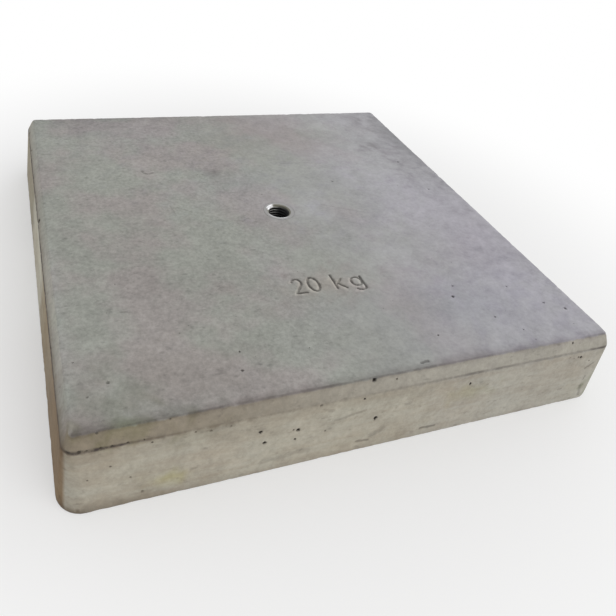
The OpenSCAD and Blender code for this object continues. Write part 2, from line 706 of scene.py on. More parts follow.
@dataclass
class WeightMark:
    """The number and unit that are cast into the top face, as thin strokes. Millimetres."""

    baseline: float = -103.0
    cap_height: float = 15.0
    x_height: float = 10.0
    half_width: float = 1.25
    depth: float = 1.0
    two_x: float = -21.0
    zero_x: float = -8.7
    k_x: float = 7.6
    g_x: float = 25.0
    # The least dirt in a stroke, and the painted shade added where its wall faces away from the light
    least_soil: float = 0.36
    painted_wall_shade: float = 0.34
    slope: float = 0.8
    ragged: float = 0.35
    # The painted highlights beside the strokes: their half width and how far they are shifted
    highlight_half_width: float = 1.4
    highlight_shift: Triple = (-1.9, -1.3, 0.0)

    def _strokes(self) -> list[list[Spot]]:
        """Draw each digit and letter from its own place on the baseline.

        Returns:
            The points of each stroke.
        """
        cap, low = self.cap_height, self.x_height
        arch = arc((0, 11.2), (3.6, 3.8), 165, -35)
        zero = arc((0, cap / 2), (4.0, cap / 2), 0, 360)
        stem, arm, leg = [(0, 0), (0, cap)], [(0, 3.6), (6.6, low)], [(2.4, 5.2), (7.4, -0.4)]
        ring = arc((0, low / 2), (4.1, low / 2 - 0.4), 0, 360)
        hook = arc((1.0, -1.4), (3.9, 3.0), 0, -150)
        signs = (
            (self.two_x, [[*arch, (-3.6, 0), (4.4, 0)]]),
            (self.zero_x, [zero]),
            (self.k_x, [stem, arm, leg]),
            (self.g_x, [ring, [(4.9, low), *hook]]),
        )
        return [
            [(place + across, self.baseline + up) for across, up in stroke]
            for place, strokes in signs
            for stroke in strokes
        ]

    def grooves(self, top: float) -> list[Groove]:
        """Make a groove of each line of the strokes, darker where its wall is in shade.

        Args:
            top: the height of the face that the mark is in.

        Returns:
            The grooves.
        """
        grooves = []
        for stroke in self._strokes():
            points = np.array([(x, y, top) for x, y in stroke])
            for line in zip(points, points[1:]):
                run = (line[1] - line[0]) / np.linalg.norm(line[1] - line[0])
                soil = self.least_soil + self.painted_wall_shade * min(1.0, 1 - 2 * run[0] * run[1])
                sizes = (self.half_width, self.depth, self.slope, soil, self.ragged)
                grooves.append(Groove(np.array(line), *sizes))
        return grooves

    def highlight_rims(self, top: float) -> list[Groove]:
        """Make the painted highlights on the left of the strokes, as grooves without depth."""
        lines = [groove.line + np.array(self.highlight_shift) for groove in self.grooves(top)]
        return [Groove(line, self.highlight_half_width, 0.0, slope=1.0, soil=1.0, ragged=0.6) for line in lines]


@dataclass
class ConcreteSlab:
    """The cast slab. Its walls lean in and a bevel runs round its top. Millimetres."""

    foot_half: float
    height: float
    socket_r: float
    socket_foot: float
    plate_half: float
    plate_foot: float
    weld_leg: float = 3.5
    bevel_h: float = 9.0
    bevel_w: float = 5.5
    wall_lean: float = 8.0
    top_corner_r: float = 2.5
    corner_steps: int = 8
    cell: float = 4.6
    mouth_half: float = 18.4
    lip_gap: float = 0.25
    mark: WeightMark = field(default_factory=WeightMark)

    NODE = "concrete_slab"
    SLOT = "concrete"
    # Noise shifts of the creases' lines of dirt and painted shade
    SOIL_AND_SHADE_SHIFT = {Ring.TOP: 3.0, Ring.LOW: 7.0}
    # The tint of the painted highlights beside the weight mark's strokes
    RIM_HIGHLIGHT_TINT = (1.34, 1.32, 1.30)
    PIT_SEED = 11
    TOP_PITS = 70
    SIDE_PITS = 26
    PIT_MARGIN = 6.0
    REFINE_ROUNDS = 6
    TOO_LONG = 1.4
    COARSE = 1.5
    # An edge of more than this share of a flat face's length runs right across it
    ACROSS = 0.9
    # How wide the fine mesh is at a crease, the coarse mesh round the steel and the socket's rim
    FINE_BAND = 1.5
    BURIED_BAND = 1.0
    LIP_BAND = 0.15
    # How deep the cast faces wave and the underside is rough, and how wide its smooth rim is
    WAVE_DEPTH = 0.10
    SCREED_DEPTH = 0.9
    SCREED_RIM = 6.0
    # The form of the pits on the top face and on the sides; deep is a share of the radius
    TOP_PIT = {"deep": 1.0, "slope": 0.6, "ragged": 0.4}
    SIDE_PIT = {"deep": 0.9, "slope": 0.5, "ragged": 0.35}

    def __post_init__(self) -> None:
        """Work out the section from the driving sizes."""
        self.low_z = self.height - self.bevel_h
        self.low_half = self.foot_half - self.wall_lean
        self.top_half = self.low_half - self.bevel_w
        self.axis = self.top_half - self.top_corner_r
        self.creases = {
            Ring.TOP: Crease(self.top_half, self.height),
            Ring.LOW: Crease(self.low_half, self.low_z, ragged=0.10, chips=0.7),
            Ring.FOOT: Crease(
                self.foot_half, 0.0, radius=0.8, spread=2.2, ragged=0.08, mesh_edge=2.4, mesh_growth=0.8
            ),
        }

    @classmethod
    def from_frame(cls) -> "ConcreteSlab":
        """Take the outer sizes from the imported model.

        Returns:
            A slab of those sizes.
        """
        slab_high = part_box(cls.NODE)[1]
        socket_low, socket_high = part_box(ThreadedSocket.NODE)
        plate_low, plate_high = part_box(AnchorPlate.NODE)
        return cls(
            foot_half=slab_high.x / MM,
            height=slab_high.z / MM,
            socket_r=socket_high.x / MM,
            socket_foot=socket_low.z / MM,
            plate_half=plate_high.x / MM,
            plate_foot=plate_low.z / MM,
        )

    def reach(self, points: Points) -> Numbers:
        """Measure how far out points are, as the half width of the slab's outline through each.

        Args:
            points: one row for each point.

        Returns:
            The half width for each point.
        """
        flat = np.abs(points[:, :2])
        past = np.clip(flat - self.axis, 0, None)
        inside = np.minimum(flat.max(1) - self.axis, 0)
        return self.axis + np.linalg.norm(past, axis=1) + inside

    def gap(self, points: Points, crease: Crease) -> Numbers:
        """Measure how far points are from a crease."""
        return np.hypot(self.reach(points) - crease.half, points[:, 2] - crease.height)

    def place(self, face: Face, across: float, up: float) -> Points:
        """Find a place on a face.

        Args:
            face: which face.
            across: the distance to the right of its middle, or x on the top face.
            up: the height, or y on the top face.

        Returns:
            The place.
        """
        if face is Face.TOP:
            return np.array((across, up, self.height))
        levels = [0, self.low_z, self.height]
        half = float(np.interp(up, levels, [self.foot_half, self.low_half, self.top_half]))
        turn = Matrix.Rotation(math.radians(face.value), 3, "Z")
        return np.array(turn @ Vector((across, -half, up)))

    def along(self, points: Points, side: Face) -> tuple[Numbers, Numbers]:
        """Find where points lie along a side.

        Args:
            points: one row for each point.
            side: which side.

        Returns:
            The distance to the right of the side's middle, and how far the point is past the line
            through the corners, where that side begins.
        """
        turn = math.radians(side.value)
        along = points[:, 0] * math.cos(turn) + points[:, 1] * math.sin(turn)
        outward = points[:, 0] * math.sin(turn) - points[:, 1] * math.cos(turn)
        return along, outward - abs(along)

    def build(self) -> bpy.types.Object:
        """Model the slab with its wear and its marks.

        Returns:
            The finished piece.
        """
        relief = Relief(self._grooves())
        bm = bmesh.new()
        self._add_quarter(bm)
        self._mirror(bm)
        self._round_creases(bm)
        self._cut_cells(bm)
        self._add_socket_room(bm)
        self._refine(bm, relief)
        bmesh.ops.recalc_face_normals(bm, faces=bm.faces)
        mesh = to_mesh(bm, "cast_concrete")
        self._press(mesh, relief)
        return finished(mesh)

    def _add_quarter(self, bm: bmesh.types.BMesh) -> None:
        """Add a quarter of the slab's skin: one corner and half of the two sides beside it.

        Args:
            bm: the empty mesh.
        """
        section = [
            (0.0, 0.0),
            (self.foot_half - self.axis, 0.0),
            (self.low_half - self.axis, self.low_z),
            (self.top_half - self.axis, self.height),
            (0.0, self.height),
        ]
        first = [bm.verts.new((self.axis + out, self.axis, z)) for out, z in section]
        edges = [bm.edges.new(pair) for pair in zip(first, first[1:])]
        turned = bmesh.ops.spin(
            bm,
            geom=[*first, *edges],
            cent=(self.axis, self.axis, 0),
            axis=(0, 0, 1),
            angle=math.pi / 2,
            steps=self.corner_steps,
        )
        last = [e for e in turned["geom_last"] if isinstance(e, bmesh.types.BMEdge)]
        for ends, move in ((edges, (0, -self.axis, 0)), (last, (-self.axis, 0, 0))):
            grown = bmesh.ops.extrude_edge_only(bm, edges=ends)["geom"]
            bmesh.ops.translate(bm, vec=move, verts=only_verts(grown))
        bmesh.ops.remove_doubles(bm, verts=bm.verts, dist=NEAR)
        inner = [
            e
            for e in bm.edges
            if all(abs(v.co.x - self.axis) < NEAR for v in e.verts)
            and abs(e.verts[0].co.y - e.verts[1].co.y) > self.axis / 2
        ]
        grown = bmesh.ops.extrude_edge_only(bm, edges=inner)["geom"]
        bmesh.ops.translate(bm, vec=(-self.axis, 0, 0), verts=only_verts(grown))
        bmesh.ops.remove_doubles(bm, verts=bm.verts, dist=NEAR)

    def _mirror(self, bm: bmesh.types.BMesh) -> None:
        """Make the whole skin from the quarter.

        Args:
            bm: the mesh.
        """
        for axis in ("X", "Y"):
            geometry = [*bm.verts, *bm.edges, *bm.faces]
            bmesh.ops.mirror(bm, geom=geometry, merge_dist=NEAR, axis=axis)
        bmesh.ops.remove_doubles(bm, verts=bm.verts, dist=NEAR)
        bmesh.ops.recalc_face_normals(bm, faces=bm.faces)

    def _round_creases(self, bm: bmesh.types.BMesh) -> None:
        """Wear the creases and the foot's edge round.

        Args:
            bm: the mesh.
        """
        for crease in self.creases.values():
            bmesh.ops.bevel(
                bm,
                geom=[e for e in bm.edges if self._on_ring(e, crease)],
                offset=crease.radius,
                offset_type="OFFSET",
                affect="EDGES",
                segments=3,
                profile=0.5,
                material=-1,
                clamp_overlap=True,
            )

    def _on_ring(self, edge: bmesh.types.BMEdge, crease: Crease) -> bool:
        """Say whether an edge lies on a crease."""
        return bool((self.gap(np.array([v.co for v in edge.verts]), crease) < NEAR).all())

    def _cut_cells(self, bm: bmesh.types.BMesh) -> None:
        """Cut the large flat faces into square cells.

        Args:
            bm: the mesh.
        """
        cuts = round(self.axis / self.cell) - 1
        level = [e for e in bm.edges if e.calc_length() > self.ACROSS * self.axis]
        bmesh.ops.subdivide_edges(bm, edges=level, cuts=cuts, use_grid_fill=True)
        wall_h = self.low_z - self.creases[Ring.FOOT].radius - self.creases[Ring.LOW].radius
        cuts = round(wall_h / self.cell) - 1
        upright = [e for e in bm.edges if abs(e.verts[0].co.z - e.verts[1].co.z) > self.ACROSS * wall_h]
        bmesh.ops.subdivide_edges(bm, edges=upright, cuts=cuts, use_grid_fill=True)

    def _add_socket_room(self, bm: bmesh.types.BMesh) -> None:
        """Open the top face, and add the room that the socket and its plate take up.

        Args:
            bm: the mesh.
        """
        middle = [
            f
            for f in bm.faces
            if f.calc_center_median().z > self.height - NEAR
            and max(abs(f.calc_center_median().x), abs(f.calc_center_median().y)) < self.mouth_half
        ]
        bmesh.ops.delete(bm, geom=middle, context="FACES")
        ring = [e for e in bm.edges if e.is_boundary]
        steps = (
            (self.socket_r, self.height, False),
            (self.socket_r, self.socket_foot + self.weld_leg, False),
            (self.socket_r + self.weld_leg, self.socket_foot, False),
            (self.plate_half, self.socket_foot, True),
            (self.plate_half, self.plate_foot, True),
        )
        for half, z, square in steps:
            grown = bmesh.ops.extrude_edge_only(bm, edges=ring)["geom"]
            ring = [e for e in grown if isinstance(e, bmesh.types.BMEdge)]
            for vert in only_verts(grown):
                flat = Vector((vert.co.x, vert.co.y))
                size = max(abs(flat.x), abs(flat.y)) if square else flat.length
                vert.co = (flat.x * half / size, flat.y * half / size, z)
        bmesh.ops.holes_fill(bm, edges=[e for e in bm.edges if e.is_boundary])

    def _refine(self, bm: bmesh.types.BMesh, relief: Relief) -> None:
        """Halve edges near creases, grooves and pits until they are short enough.

        Args:
            bm: the mesh.
            relief: the grooves and pits.
        """
        bmesh.ops.triangulate(bm, faces=bm.faces, quad_method="BEAUTY", ngon_method="BEAUTY")
        for _ in range(self.REFINE_ROUNDS):
            bm.verts.index_update()
            places = np.array([v.co[:] for v in bm.verts])
            edges = list(bm.edges)
            ends = places[np.array([(e.verts[0].index, e.verts[1].index) for e in edges])]
            lengths = np.linalg.norm(ends[:, 0] - ends[:, 1], axis=1)
            wanted = self._edge_length(ends.mean(1), relief)
            chosen = [e for e, too_long in zip(edges, lengths > self.TOO_LONG * wanted) if too_long]
            if not chosen:
                break
            bmesh.ops.subdivide_edges(bm, edges=chosen, cuts=1, use_grid_fill=True, use_single_edge=True)
            wide = [f for f in bm.faces if len(f.verts) > 3]
            bmesh.ops.triangulate(bm, faces=wide, quad_method="SHORT_EDGE", ngon_method="BEAUTY")

    def _edge_length(self, points: Points, relief: Relief) -> Numbers:
        """Say how long edges may be at some places.

        Args:
            points: one row for each place.
            relief: the grooves and pits.

        Returns:
            The longest edge that each place should have.
        """
        wanted = relief.edge_length(points, self.COARSE * self.cell)
        for crease in self.creases.values():
            past = np.clip(self.gap(points, crease) - self.FINE_BAND, 0, None)
            wanted = np.minimum(wanted, crease.mesh_edge + crease.mesh_growth * past)
        wanted[self._buried(points, self.BURIED_BAND)] = self.plate_half
        return wanted

    def _buried(self, points: Points, margin: float) -> Numbers:
        """Say which points lie against the steel, or within a margin of it."""
        z = points[:, 2]
        return (z > margin) & (z < self.height - margin) & (self.reach(points) < self.plate_half + margin)

    def _press(self, mesh: bpy.types.Mesh, relief: Relief) -> None:
        """Press the wear and the marks into the mesh, and keep their dirt, painted shade and painted
        highlights on it.

        Args:
            mesh: the slab's mesh.
            relief: the grooves and pits.
        """
        points, normals = read_vertices(mesh, "co"), read_vertices(mesh, "normal")
        depth, soil = relief.hollows(points)
        depth += self._wear(points)
        depth[self._buried(points, NEAR)] = 0
        moved = points - normals * depth[:, None]
        # The edge of the opening stays on the socket's rim
        near_rim = abs(np.hypot(points[:, 0], points[:, 1]) - self.socket_r) < self.LIP_BAND
        lip = near_rim & (points[:, 2] > self.socket_foot)
        moved[lip, :2] *= (self.socket_r / np.hypot(moved[:, 0], moved[:, 1])[lip])[:, None]
        mesh.vertices.foreach_set("co", moved.astype(np.float32).ravel())
        keep_values(mesh, "soil", soil)
        # Dirt and painted shade in the lines of the creases
        for ring in self.SOIL_AND_SHADE_SHIFT:
            keep_values(mesh, f"{ring.value}_crease_soil_and_shade", self._crease_soil_and_shade(points, ring))
        keep_values(mesh, "tint", self._tint(points))

    def _crease_soil_and_shade(self, points: Points, ring: Ring) -> Numbers:
        """Work out how much dirt and painted shade the line of a crease holds.

        Args:
            points: one row for each vertex.
            ring: which crease.

        Returns:
            The dirt and painted shade beside each vertex, from 0 to 1.
        """
        soil = np.zeros(len(points))
        for side, stations in CREASE_SOIL_AND_SHADE[ring].items():
            along, inside = self.along(points, side)
            here = inside > 0
            places, strengths = zip(*stations)
            soil[here] = np.interp(along[here], places, strengths)
        return np.clip(soil * (1 + 0.5 * waver(points, 30, 2, self.SOIL_AND_SHADE_SHIFT[ring])), 0, 1)

    def _wear(self, points: Points) -> Numbers:
        """Work out how far the faces and edges are worn back.

        Args:
            points: one row for each vertex.

        Returns:
            A depth for each vertex, in millimetres.
        """
        chip = np.clip(waver(points, 7, 3, 5.0) - 0.12, 0, None)
        ragged = np.clip(0.5 + waver(points, 3, 2, 9.0), 0, None)
        depth = self.WAVE_DEPTH * (1 + waver(points, 70, 2))
        for crease in self.creases.values():
            near = np.exp(-((self.gap(points, crease) / crease.spread) ** 2))
            depth += near * (crease.ragged * ragged + crease.chips * chip)
        # The underside is the rough face that was screeded in the mould, flat again at its rim
        inside = self.foot_half - self.SCREED_RIM - self.reach(points)
        under = smooth(inside / self.SCREED_RIM) * (points[:, 2] < NEAR)
        screed = np.clip(0.35 + waver(points * (0.5, 1.0, 1.0), 11, 4, 2.0), 0, None)
        return depth * (points[:, 2] >= NEAR) + under * self.SCREED_DEPTH * screed

    def _tint(self, points: Points) -> Numbers:
        """Work out the colour that the stains, the films, and the painted light, shade and highlights
        multiply the concrete by.

        Args:
            points: one row for each vertex.

        Returns:
            Red, green, blue and alpha for each vertex.
        """
        ragged = np.clip(waver(points, 9, 3, 4.0), -0.6, 0.6)
        highlight_rims = Relief(self.mark.highlight_rims(self.height)).hollows(points)[1]
        shares = [(stain.strength(points, ragged), stain.tint) for stain in self._stains()]
        shares += [(film.strength(self, points, ragged), film.tint) for film in self._films_and_painted_light()]
        shares.append((highlight_rims, self.RIM_HIGHLIGHT_TINT))
        tint = np.ones((len(points), 4))
        for share, full in shares:
            tint[:, :3] *= 1 - share[:, None] * (1 - np.array(full))
        return tint

    def _stains(self) -> list[Stain]:
        """Put the stains in their places.

        Returns:
            The stains on the faces and at the corners.
        """
        stains = [Stain(self.place(face, *at), *rest) for face, rows in STAINS.items() for at, *rest in rows]
        for right, in_x, in_y, z, *rest in CORNER_STAINS:
            centre = np.array((right * (self.foot_half - in_x), in_y - self.foot_half, z))
            stains.append(Stain(centre, *rest))
        return stains

    def _films_and_painted_light(self) -> list[FilmAndPaintedLight]:
        """Put the dirt films, paler stretches and painted light and shade beside their creases."""
        return [FilmAndPaintedLight(side, self.creases[ring], *row) for (side, ring), rows in FILMS_AND_PAINTED_LIGHT.items() for row in rows]

    def _grooves(self) -> list[Groove]:
        """List everything that is hollow in the slab's skin.

        Returns:
            The weight mark, the marks seen on the faces and the small pits that a seed scatters.
        """
        marks = self.mark.grooves(self.height)
        return [*marks, *self._socket_lip(), *self._large_pits(), *self._scratches(), *self._small_pits()]

    def _socket_lip(self) -> list[Groove]:
        """Make the shallow gap between the concrete and the steel."""
        ring = arc((0, 0), (self.socket_r + self.lip_gap,) * 2, 0, 360, steps=48)
        return [self._groove(Face.TOP, ring, half_width=0.5, depth=0.12, soil=0.12, ragged=0.8)]

    def _groove(self, face: Face, line: Sequence[Spot], **sizes: float) -> Groove:
        """Make a groove along a line on a face, with these values of Groove."""
        return Groove(np.array([self.place(face, *spot) for spot in line]), **sizes)

    def _pit(self, face: Face, spot: Spot, radius: float, deep: float = 1.0, **sizes: float) -> Groove:
        """Make a pit on a face, whose depth is a share of its radius."""
        return self._groove(face, [spot], half_width=radius, depth=deep * radius, **sizes)

    def _large_pits(self) -> list[Groove]:
        """Make the pits and chips that stand out.

        Returns:
            The pits, deeper and with softer rims on the top face than on the sides.
        """
        pits = []
        for face, rows in PITS.items():
            form = self.TOP_PIT if face is Face.TOP else self.SIDE_PIT
            for across, up, radius, soil in rows:
                pits.append(self._pit(face, (across, up), radius, soil=soil, **form))
        for across, radius in CREASE_CHIPS:
            spot = (across, self.low_z + 0.3)
            pits.append(self._pit(Face.FRONT, spot, radius, deep=0.6, slope=1.0, soil=0.7, ragged=0.9))
        return pits

    def _scratches(self) -> list[Groove]:
        """Make the dent, the crescent mark, the scratches and the smears.

        Returns:
            The grooves, with soft ragged sides.
        """
        return [
            self._groove(face, line, half_width=half_width, depth=depth, slope=1.0, soil=soil, ragged=0.7)
            for face, rows in SCRATCHES.items()
            for line, half_width, depth, soil in rows
        ]

    def _small_pits(self) -> list[Groove]:
        """Scatter small pits over the top and the three sides that the photograph doesn't show.

        Returns:
            The pits.
        """
        draw = random.Random(self.PIT_SEED)
        span = self.top_half - self.PIT_MARGIN
        pits = []
        for _ in range(self.TOP_PITS):
            radius = 0.25 + 0.3 * draw.random() ** 3
            spot = (draw.uniform(-span, span), draw.uniform(-span, span))
            if max(abs(spot[0]), abs(spot[1])) > self.mouth_half + 2:
                pits.append(self._pit(Face.TOP, spot, radius, soil=0.75, ragged=0.4))
        for side in (Face.RIGHT, Face.BACK, Face.LEFT):
            for _ in range(self.SIDE_PITS):
                radius = 0.3 + 0.8 * draw.random() ** 3
                spot = (draw.uniform(-span, span), draw.uniform(4, self.height - 3))
                pits.append(self._pit(side, spot, radius, soil=0.85, ragged=0.5))
        return pits


def only_verts(geometry: Sequence[Any]) -> list[bmesh.types.BMVert]:
    """Pick the vertices out of what an operator gives back."""
    return [part for part in geometry if isinstance(part, bmesh.types.BMVert)]


def read_vertices(mesh: bpy.types.Mesh, name: str) -> Points:
    """Read a vector of each vertex.

    Args:
        mesh: the mesh.
        name: the vector's name, such as co for the place.

    Returns:
        One row for each vertex.
    """
    flat = np.empty(len(mesh.vertices) * 3, np.float32)
    mesh.vertices.foreach_get(name, flat)
    return flat.reshape(-1, 3).astype(float)


def keep_values(mesh: bpy.types.Mesh, name: str, values: Numbers) -> None:
    """Keep one number or one colour for each vertex on a mesh.

    Args:
        mesh: the mesh.
        name: the attribute's name.
        values: a number, or red, green, blue and alpha, for each vertex.
    """
    kind, part = ("FLOAT", "value") if values.ndim == 1 else ("FLOAT_COLOR", "color")
    attribute = mesh.attributes.new(name, kind, "POINT")
    attribute.data.foreach_set(part, values.astype(np.float32).ravel())


def to_mesh(bm: bmesh.types.BMesh, name: str) -> bpy.types.Mesh:
    """Make a mesh of a bmesh.

    Args:
        bm: the bmesh, which is freed.
        name: the mesh's name.

    Returns:
        The mesh.
    """
    mesh = bpy.data.meshes.new(name)
    bm.to_mesh(mesh)
    bm.free()
    return mesh


def add_object(name: str, data: bpy.types.ID) -> bpy.types.Object:
    """Add an object to the scene.

    Args:
        name: its name.
        data: its mesh, light or camera.

    Returns:
        The object, at the origin.
    """
    made = bpy.data.objects.new(name, data)
    bpy.context.scene.collection.objects.link(made)
    return made


def finished(mesh: bpy.types.Mesh, sharp_over: float = 50.0) -> bpy.types.Object:
    """Make an object, in metres, of a mesh in millimetres.

    Args:
        mesh: the mesh, whose name the object takes.
        sharp_over: edges that turn by more than this stay sharp, in degrees.

    Returns:
        The object, at the origin.
    """
    mesh.transform(Matrix.Scale(MM, 4))
    mesh.polygons.foreach_set("use_smooth", [True] * len(mesh.polygons))
    mesh.set_sharp_from_angle(angle=math.radians(sharp_over))
    mesh.update()
    return add_object(mesh.name, mesh)


@dataclass
class ThreadedSocket:
    """The turned steel socket with its coarse thread. Millimetres."""

    outer_r: float
    foot: float
    top: float
    core_r: float = 8.65
    major_r: float = 10.0
    pitch: float = 2.5
    chamfer: float = 1.6
    chamfer_rows: int = 6
    edge_break: float = 0.2
    rows_per_turn: int = 10
    turn_steps: int = 96
    crest_share: float = 0.25
    root_share: float = 0.125

    NODE = "threaded_socket"
    SLOT = "socket_steel"

    @classmethod
    def from_frame(cls) -> "ThreadedSocket":
        """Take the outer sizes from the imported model."""
        low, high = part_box(cls.NODE)
        return cls(outer_r=high.x / MM, foot=low.z / MM, top=high.z / MM)

    def build(self) -> bpy.types.Object:
        """Turn the socket and cut its thread.

        Returns:
            The finished piece.
        """
        bm = bmesh.new()
        verts = [bm.verts.new((r, 0, z)) for r, z in self._section()]
        edges = [bm.edges.new(pair) for pair in zip(verts, [*verts[1:], verts[0]])]
        bmesh.ops.spin(
            bm,
            geom=[*verts, *edges],
            cent=(0, 0, 0),
            axis=(0, 0, 1),
            angle=math.tau,
            steps=self.turn_steps,
            use_merge=True,
        )
        bmesh.ops.remove_doubles(bm, verts=bm.verts, dist=NEAR / 2)
        for vert in bm.verts:
            self._cut_thread(vert)
        bmesh.ops.recalc_face_normals(bm, faces=bm.faces)
        return finished(to_mesh(bm, "threaded_steel"), sharp_over=38.0)

    def _section(self) -> list[Spot]:
        """Draw the wall's section, with rows up the bore that are close enough for the thread.

        Returns:
            The radius and height of each corner, once round.
        """
        step = self.pitch / self.rows_per_turn
        rows = round((self.top - self.chamfer - self.foot) / step)
        bore = [(self.core_r, self.foot + i * step) for i in range(rows)]
        shares = [i / self.chamfer_rows for i in range(self.chamfer_rows + 1)]
        mouth = [(self.core_r + self.chamfer * s, self.top - self.chamfer * (1 - s)) for s in shares]
        outside = [
            (self.outer_r - self.edge_break, self.top),
            (self.outer_r, self.top - self.edge_break),
            (self.outer_r, self.foot),
        ]
        return [*bore, *mouth, *outside]

    def _cut_thread(self, vert: bmesh.types.BMVert) -> None:
        """Move a vertex of the bore out to the thread's form.

        Args:
            vert: any vertex of the socket; those outside the bore stay.
        """
        radius = math.hypot(vert.co.x, vert.co.y)
        if radius > self.core_r + self.chamfer - NEAR:
            return
        turn = math.atan2(vert.co.y, vert.co.x) / math.tau
        phase = (vert.co.z / self.pitch - turn) % 1.0
        flank = 0.5 - self.crest_share / 2
        share = (flank - abs(phase - 0.5)) / (flank - self.root_share / 2)
        wanted = self.core_r + (self.major_r - self.core_r) * min(max(share, 0.0), 1.0)
        if wanted > radius:
            vert.co.x *= wanted / radius
            vert.co.y *= wanted / radius


@dataclass
class AnchorPlate:
    """The plate under the socket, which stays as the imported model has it."""

    NODE = "anchor_plate"
    SLOT = "plate_steel"

    def dress(self) -> bpy.types.Object:
        """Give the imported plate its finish.

        Returns:
            The plate.
        """
        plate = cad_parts[self.NODE]
        material = MillScale().make()
        if not plate.material_slots:
            plate.data.materials.append(material)
        for place in plate.material_slots:
            place.link = "OBJECT"
            place.material = material
        return plate


class CastConcrete(Finish):
    """Grey cast concrete: smooth on top with a painted sheen towards its right, warmer and streaked on the
    walls, with lines of dirt and painted shade in its creases.
    """

    name = "cast_concrete"

    GREEN_GREY = rgb(146, 148, 141)
    ROSE_GREY = rgb(150, 145, 142)
    # The painted sheen on the right of the top
    SHEEN_BLUE_GREY = rgb(163, 162, 167)
    WALL_PALE = rgb(173, 169, 156)
    WALL_WARM = rgb(160, 152, 137)
    BEVEL_DARK = rgb(131, 121, 105)
    BEVEL_PALE = rgb(159, 155, 145)
    UNDERSIDE = rgb(150, 147, 140)
    DIRT = rgb(34, 28, 23)
    # The colour of the lines of dirt and painted shade in the creases and along the foot
    CREASE_DIRT_AND_SHADE = rgb(62, 54, 51)
    # How far a crease's line of dirt and painted shade is full and where it ends, its least strength and
    # what the unbroken stretches add
    CREASE_LINES = {Ring.TOP: (0.2, 1.5, 0.15, 0.5), Ring.LOW: (0.3, 1.7, 0.3, 0.75)}

    def __init__(self, slab: ConcreteSlab) -> None:
        """Keep the slab's sizes, and measure how far out each place is."""
        super().__init__()
        self.slab = slab
        self.reach = self._reach()

    def _reach(self) -> Shade:
        """Work out how far out a place is, as ConcreteSlab.reach does.

        Returns:
            The half width of the slab's outline there.
        """
        axis = self.slab.axis
        wide, deep = abs(self.x), abs(self.y)
        inside = (wide.most(deep) - axis).least(0.0)
        return (wide - axis).most(0.0).length((deep - axis).most(0.0)) + inside + axis

    def paint(self) -> None:
        """Build the nodes."""
        maker, x, y, z = self.maker, self.x, self.y, self.z
        top_half, low_half = self.slab.top_half, self.slab.low_half
        wobble = (self.cloud(6, 3) - 0.5) * 1.6
        edge = self.reach + wobble
        # The walls' colour starts at the top crease, and softly at the left side
        on_side = edge.fade(top_half - 0.3, top_half + 0.7)
        on_left = (-1 * x - abs(y)).fade(3.0, 9.0)
        on_side = on_side + on_left * (edge.fade(top_half - 2.5, top_half + 7.0) - on_side)
        on_wall = edge.fade(low_half - 0.4, low_half + 0.4)
        # The front's bevel is darkest at its left end
        on_front = (-1 * y - abs(x) + 3 * wobble).fade(-17.0, -6.0)
        dirty = on_front * (1 - (x + 30 * wobble).fade(-200, 80))
        bevel = maker.mix(dirty, self.BEVEL_PALE, self.BEVEL_DARK)
        colour = maker.mix(on_side, self._top_colour(), bevel)
        colour = maker.mix(on_wall, colour, self._wall_colour())
        colour = maker.mix(1 - z.fade(0.2, 1.0), colour, self.UNDERSIDE)
        colour = maker.scale(colour, self._mottle(on_side))
        # Stains, films and painted light, shade and highlights, kept on the mesh
        colour = maker.mix(1.0, colour, maker.attribute("tint", "Color"), "MULTIPLY")
        # Lines of dirt and painted shade in the creases and along the foot
        colour = maker.mix(self._crease_dirt_and_shade(), colour, self.CREASE_DIRT_AND_SHADE)
        # Dirt in the grooves and pits, with painted shade on the stroke walls of the weight mark
        colour = maker.mix(maker.attribute("soil"), colour, self.DIRT)
        rough = 0.62 + 0.25 * self.cloud(5, 4, shift=3.0) + 0.1 * on_side
        grain = self.cloud(1.3, 4, 0.65) + 0.6 * self.cloud(6, 2, shift=8.0)
        self.surface(colour, rough, grain, 0.10, Specular_IOR_Level=0.45)

    def _top_colour(self) -> Shade:
        """Blend the greys of the top face in large soft patches, and paint a paler, bluer sheen towards its
        right.

        Returns:
            The colour.
        """
        rose = self.cloud(75, 3, 0.55, shift=1.0).fade(0.42, 0.60)
        colour = self.maker.mix(rose, self.GREEN_GREY, self.ROSE_GREY)
        # Painted sheen: paler and bluer towards the right, where the top reflects the sky
        right = (self.x - 0.1 * self.y + 200 * (self.cloud(80, 3, shift=5.0) - 0.5)).fade(-50, 190)
        return self.maker.mix(right, colour, self.SHEEN_BLUE_GREY)

    def _wall_colour(self) -> Shade:
        """Blend the warm tones of the walls in long level streaks.

        Returns:
            The colour.
        """
        streaks = self.cloud(7, 4, 0.6, shift=2.0, stretch=(7.0, 7.0, 1.0)).fade(0.38, 0.64)
        patches = self.cloud(40, 3, shift=6.0).fade(0.35, 0.65)
        return self.maker.mix(0.45 * streaks + 0.55 * patches, self.WALL_PALE, self.WALL_WARM)

    def _mottle(self, on_side: Shade) -> Shade:
        """Vary the brightness at several sizes. The right of the top is smoother.

        Args:
            on_side: 0 on the top face and 1 on the sides.

        Returns:
            A brightness of about 1.
        """
        smooth_top = self.x.fade(-60, 40) * (1 - on_side)
        strength = 0.98 - 0.44 * smooth_top - 0.36 * on_side
        large = self.cloud(55, 3, 0.5, shift=11.0) - 0.5
        middle = self.cloud(12, 3, 0.6, shift=12.0) - 0.5
        fine = self.cloud(3.0, 4, 0.75, shift=13.0) - 0.5
        flecks = self.cloud(4.0, 2, 0.5, shift=14.0, stretch=(1.8, 1.0, 1.0)).fade(0.62, 0.74)
        return 1 + 0.34 * large + 0.42 * middle + strength * fine - (0.18 - 0.12 * smooth_top) * flecks

